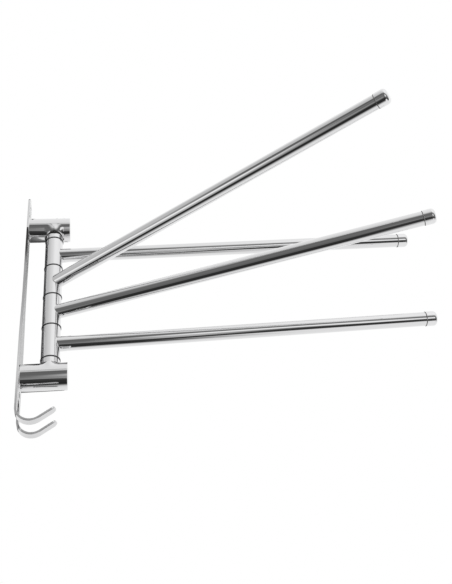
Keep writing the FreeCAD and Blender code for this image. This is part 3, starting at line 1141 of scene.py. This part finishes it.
@dataclass(frozen=True)
class SwingArm:
    """One arm with its sleeve, bushes and cap. Sizes in millimetres, the angle in degrees."""

    number: int
    angle: float
    height: float
    column_reach: float = COLUMN_REACH
    sleeve_radius: float = 8.0
    tube_radius: float = 6.35
    cap_radius: float = 6.8
    cap_start: float = 335.1
    weld: Point2 = (0.6, 0.6)
    # The near-black ring of painted shade in the step before the cap, in millimetres.
    seam_width: float = 0.6
    seam_sink: float = 0.03
    seam_step: float = 0.1
    seam_tuck: float = 0.02
    seam_steps: int = 96

    def build(self, wardrobe: Wardrobe) -> None:
        """Dresses the arm's pieces, welds it to its sleeve and fills the seam before its cap with painted
        shade.

        Args:
            wardrobe: The finishes.
        """
        steel = wardrobe.arm_steel(self.number, self.angle)
        dress(steel, f"arm_{self.number}")
        dress(wardrobe.cap, f"arm_cap_{self.number}")
        dress(wardrobe.column, f"sleeve_{self.number}")
        dress(wardrobe.bush, f"bush_{self.number}_upper", f"bush_{self.number}_lower")
        out = self._out()
        WeldBead(
            f"arm_{self.number}_weld", self._body(), (0.0, -self.column_reach, self.height), tuple(out), UP,
            self.tube_radius, self.sleeve_radius, *self.weld,
        ).build(steel)
        self._seam_shade(wardrobe.seam, out)

    def _body(self) -> str:
        """Returns the body that this arm is."""
        return f"swing_arm_{self.number}"

    def _out(self) -> Vector:
        """Returns the direction in which the arm points."""
        turn = math.radians(self.angle)
        return Vector((math.sin(turn), -math.cos(turn), 0.0))

    def _seam_shade(self, material: Material, out: Vector) -> None:
        """Lays the thin dark line of painted shade in the step before the cap.

        Args:
            material: The painted shade.
            out: The direction in which the arm points.
        """
        low, high = self.tube_radius - self.seam_sink, self.cap_radius - self.seam_step
        section = (
            (self.cap_start + self.seam_tuck, low),
            (self.cap_start + self.seam_tuck, high),
            (self.cap_start - self.seam_width / 3, (low + high) / 2),
            (self.cap_start - self.seam_width, low),
        )
        side = out.cross(Vector(UP))
        centre = Vector((0.0, -self.column_reach, self.height))
        points = []
        for index in range(self.seam_steps):
            turn = 2.0 * math.pi * index / self.seam_steps
            ray = side * math.cos(turn) + Vector((0.0, 0.0, math.sin(turn)))
            points += [centre + out * reach + ray * radius for reach, radius in section]
        faces = ring_faces(self.seam_steps, len(section))
        name = f"arm_{self.number}_cap_seam_shade"
        add_piece(name, points, faces, material, self._body())


# ---- The studio ----


@dataclass(frozen=True)
class TentPanel:
    """A soft-edged panel in the light tent, placed by the angles at which the object sees it."""

    name: str
    across: float
    up: float
    half_width: float
    half_height: float
    softness: float
    brightness: float


@dataclass(frozen=True)
class StageCard:
    """An upright card parallel to the wall that only polished metal sees. Sizes in metres."""

    name: str
    depth: float
    low: Point2
    high: Point2
    shades: tuple[Point2, ...]

    def build(self) -> None:
        """Stands the card on the stage, shaded by height."""
        (left, low), (right, high) = self.low, self.high
        corners = [(left, low), (right, low), (right, high), (left, high)]
        mesh = bpy.data.meshes.new(self.name)
        mesh.from_pydata([(x, self.depth, z) for x, z in corners], [], [(0, 1, 2, 3)])
        card = add_object(self.name, mesh)
        card.visible_camera = False
        card.visible_diffuse = False
        card.visible_shadow = False
        made, nodes, shader = new_material(self.name)
        place = nodes.split(nodes.add("ShaderNodeTexCoord").outputs["Object"])
        share = nodes.add("ShaderNodeMapRange")
        nodes.feed(share, Value=place.outputs["Z"], From_Min=low, From_Max=high)
        shade = grey_ramp(nodes, [((height - low) / (high - low), value) for height, value in self.shades])
        nodes.plug(shade.inputs["Fac"], share.outputs["Result"])
        nodes.feed(shader, Base_Color=(0.0, 0.0, 0.0, 1.0), Specular_IOR_Level=0.0, Roughness=1.0)
        nodes.feed(shader, Emission_Color=shade.outputs["Color"], Emission_Strength=1.0)
        mesh.materials.append(made)


@dataclass(frozen=True)
class Studio:
    """A light tent with a dark mouth round the camera, a pale floor and the camera. In metres and degrees."""

    camera_place: Point3 = (-0.60764, -0.06664, -0.48203)
    camera_turn: Point3 = (133.9461, 8.2836, -97.3738)
    lens: float = 51.578
    shift: Point2 = (-0.0604, -0.1488)
    floor_height: float = -1.2
    floor_half: float = 40.0
    floor_grey: float = 0.93
    even_grey: float = 0.9
    lamp_place: Point3 = (0.1, -0.3, 1.5)
    lamp_size: Point2 = (1.4, 1.1)
    lamp_power: float = 14.0

    # How bright the tent is at an angle above the camera, as the object sees it, all the way round.
    tent: tuple[Point2, ...] = (
        (-180.0, 1.0), (-156.0, 1.0), (-140.0, 0.97), (-128.0, 0.95), (-110.0, 0.92), (-90.0, 0.9),
        (-76.0, 0.82), (-68.0, 0.66), (-61.0, 0.42), (-55.0, 0.14), (-50.0, 0.045), (-45.0, 0.02),
        (-30.0, 0.03), (-13.0, 0.033), (-8.0, 0.12), (-4.0, 0.16), (2.0, 0.12), (8.0, 0.15), (20.0, 0.17),
        (44.0, 0.14), (51.0, 0.165), (58.0, 0.29), (68.0, 0.63), (78.0, 0.8), (92.0, 0.86), (120.0, 0.92),
        (150.0, 0.97), (165.0, 1.0), (180.0, 1.0),
    )
    panels: tuple[TentPanel, ...] = (
        TentPanel("ceiling_left", -74.0, 88.0, 44.0, 34.0, 24.0, 0.6),
        TentPanel("ceiling_right", 22.0, 94.0, 20.0, 26.0, 14.0, 1.0),
        TentPanel("edge_flag", -2.2, 74.2, 4.0, 2.0, 1.0, 0.4),
        TentPanel("right_window", 13.0, 13.0, 5.0, 20.0, 4.0, 0.53),
        TentPanel("post_shade", 1.0, 57.0, 5.0, 6.0, 3.0, 0.13),
        TentPanel("post_gap", 6.0, -5.0, 4.0, 5.0, 3.0, 0.03),
        TentPanel("post_slit", 4.0, 9.0, 6.0, 3.5, 2.0, 0.27),
        TentPanel("right_strip", 17.0, 29.0, 8.0, 9.0, 4.0, 1.0),
        TentPanel("far_right_strip", 29.0, 21.0, 7.0, 8.0, 3.0, 1.0),
        TentPanel("right_gap", 24.0, -3.0, 7.0, 8.0, 4.0, 0.035),
        TentPanel("right_below", 33.0, -61.0, 18.0, 28.0, 5.0, 0.9),
        TentPanel("left_window", -50.0, -16.0, 24.0, 13.0, 5.0, 0.55),
        TentPanel("left_window_top", -56.0, 1.0, 19.0, 9.0, 4.0, 1.0),
        TentPanel("left_dusk", -42.0, 42.0, 12.0, 13.0, 5.0, 0.13),
        TentPanel("left_glow", -24.0, -13.0, 5.0, 13.0, 5.0, 0.28),
    )
    cards: tuple[StageCard, ...] = (
        StageCard(
            "wall_card", 0.004, (-0.004, -0.12), (1.0, 0.22), ((-0.1, 0.26), (0.03, 0.08), (0.25, 0.08))
        ),
        StageCard("column_card", -0.0255, (0.01, -0.085), (0.085, 0.14), ((-0.08, 0.06), (0.14, 0.06))),
        StageCard(
            "plate_card", -0.0255, (0.12, 0.0), (0.34, 0.286),
            (
                (0.03, 0.8), (0.06, 0.6), (0.12, 0.6), (0.19, 0.5),
                (0.2, 0.42), (0.215, 0.25), (0.234, 0.09), (0.245, 0.04),
            ),
        ),
    )

    def build(self) -> None:
        """Makes the camera, the tent, the lamp, the floor and the cards."""
        self._camera()
        self._tent()
        self._lamp()
        self._floor()
        for card in self.cards:
            card.build()
        bpy.context.scene.view_settings.view_transform = "Standard"

    def _camera(self) -> None:
        """Places the camera where the photograph was taken from."""
        data = bpy.data.cameras.new("photo_camera")
        data.lens = self.lens
        data.shift_x, data.shift_y = self.shift
        data.clip_start = 0.01
        camera = add_object("photo_camera", data)
        camera.location = self.camera_place
        camera.rotation_euler = self._turn()
        bpy.context.scene.camera = camera

    def _turn(self) -> Euler:
        """Returns the camera's rotation."""
        return Euler([math.radians(angle) for angle in self.camera_turn])

    def _axes(self) -> tuple[Vector, ...]:
        """Returns the directions to the camera's right, up, and from the object to the camera."""
        return tuple(column.copy() for column in self._turn().to_matrix().col)

    def _tent(self) -> None:
        """Shades the world: the tent, white behind the object, and an even light for matt surfaces."""
        world = bpy.data.worlds.new("light_tent")
        world.use_nodes = True
        bpy.context.scene.world = world
        nodes = NodeTree(world.node_tree)
        right, up, toward = self._axes()
        direction = nodes.add("ShaderNodeTexCoord").outputs["Generated"]
        rise = nodes.maths(
            "ARCTAN2",
            nodes.vector("DOT_PRODUCT", direction, up).outputs["Value"],
            nodes.vector("DOT_PRODUCT", direction, toward).outputs["Value"],
        )
        ramp = grey_ramp(nodes, [((angle + 180.0) / 360.0, value) for angle, value in self.tent])
        nodes.plug(ramp.inputs["Fac"], nodes.maths("MULTIPLY_ADD", rise, 0.5 / math.pi, 0.5))
        light = ramp.outputs["Color"]
        group = self._panel_group()
        for panel in self.panels:
            centre, sideways, above = self._panel_axes(panel, right, up, toward)
            mask = group.place(
                nodes,
                Direction=direction,
                Centre=centre,
                Sideways=sideways,
                Above=above,
                Half_Width=math.radians(panel.half_width),
                Half_Height=math.radians(panel.half_height),
                Softness=math.radians(panel.softness),
            )
            mask.label = panel.name
            light = nodes.mix(mask.outputs["Mask"], light, grey(panel.brightness))
        surroundings = world.node_tree.nodes["Background"]
        nodes.feed(surroundings, Color=light, Strength=1.0)
        even = nodes.add("ShaderNodeBackground")
        nodes.feed(even, Color=grey(self.even_grey), Strength=1.0)
        ray = nodes.add("ShaderNodeLightPath").outputs
        clear = nodes.maths("MAXIMUM", ray["Is Glossy Ray"], ray["Is Transmission Ray"])
        choose = nodes.add("ShaderNodeMixShader")
        nodes.plug(choose.inputs[0], nodes.maths("MAXIMUM", ray["Is Camera Ray"], clear))
        nodes.plug(choose.inputs[1], even.outputs[0])
        nodes.plug(choose.inputs[2], surroundings.outputs[0])
        nodes.plug(world.node_tree.nodes["World Output"].inputs["Surface"], choose.outputs[0])

    @staticmethod
    def _panel_axes(panel: TentPanel, right: Vector, up: Vector, toward: Vector) -> tuple[Vector, ...]:
        """Finds a panel's own axes.

        Args:
            panel: The panel.
            right: The camera's right.
            up: The camera's up.
            toward: From the object to the camera.

        Returns:
            The direction of its centre, its sideways axis and its upward axis.
        """
        across, rise = math.radians(panel.across), math.radians(panel.up)
        ahead = toward * math.cos(rise) + up * math.sin(rise)
        above = up * math.cos(rise) - toward * math.sin(rise)
        centre = ahead * math.cos(across) + right * math.sin(across)
        sideways = right * math.cos(across) - ahead * math.sin(across)
        return centre, sideways, above

    @staticmethod
    def _panel_group() -> Group:
        """Builds the group that tells how much of a soft panel a direction sees.

        Returns:
            The group, whose output is the panel's mask.
        """
        group = Group(
            "tent_panel",
            {"Direction": None, "Centre": None, "Sideways": None, "Above": None,
             "Half Width": 0.2, "Half Height": 0.2, "Softness": 0.1},
            {"Mask": "NodeSocketFloat"},
        )
        nodes, start = group.nodes, group.start
        ahead = nodes.vector("DOT_PRODUCT", start["Direction"], start["Centre"]).outputs["Value"]
        sides = []
        for axis, half in (("Sideways", "Half Width"), ("Above", "Half Height")):
            part = nodes.vector("DOT_PRODUCT", start["Direction"], start[axis]).outputs["Value"]
            angle = nodes.maths("ABSOLUTE", nodes.maths("ARCTAN2", part, ahead))
            outer = nodes.maths("ADD", start[half], start["Softness"])
            inner = nodes.maths("SUBTRACT", start[half], start["Softness"])
            sides.append(nodes.smooth_step(angle, outer, inner))
        nodes.feed(group.end, Mask=nodes.maths("MULTIPLY", *sides))
        return group

    def _lamp(self) -> None:
        """Hangs one broad soft lamp over the object for the shadow on the floor."""
        data = bpy.data.lights.new("overhead_softbox", "AREA")
        data.shape = "RECTANGLE"
        data.size, data.size_y = self.lamp_size
        data.energy = self.lamp_power
        lamp = add_object("overhead_softbox", data)
        lamp.location = self.lamp_place
        lamp.visible_glossy = False

    def _floor(self) -> None:
        """Lays the pale floor, well below a rail that hangs on a wall."""
        mesh = bpy.data.meshes.new("floor")
        half, low = self.floor_half, self.floor_height
        corners = [(-half, -half, low), (half, -half, low), (half, half, low), (-half, half, low)]
        mesh.from_pydata(corners, [], [(0, 1, 2, 3)])
        floor = add_object("floor", mesh)
        floor.visible_glossy = False
        made, nodes, shader = new_material("floor_paint")
        nodes.feed(shader, Base_Color=grey(self.floor_grey), Roughness=0.7)
        mesh.materials.append(made)


def main() -> None:
    """Builds the rail's looks and the studio, and logs each step."""
    logging.basicConfig(level=logging.INFO, format="%(name)s: %(message)s")
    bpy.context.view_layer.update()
    wardrobe = Wardrobe.build()
    pieces = {
        "wall plate": WallPlate(),
        "upper post": Post("upper", 82.8, -1.0),
        "lower post": Post("lower", -82.8, 1.0),
        "spindle column": SpindleColumn(),
        "arm 1": SwingArm(1, -1.8, 1.5 * RING_PITCH),
        "arm 2": SwingArm(2, -39.6, 0.5 * RING_PITCH),
        "arm 3": SwingArm(3, -19.8, -0.5 * RING_PITCH),
        "arm 4": SwingArm(4, -2.4, -1.5 * RING_PITCH),
    }
    for label, piece in pieces.items():
        piece.build(wardrobe)
        LOG.info("built the %s", label)
    Studio().build()
    LOG.info("set up the studio")


if __name__ == "__main__":
    main()
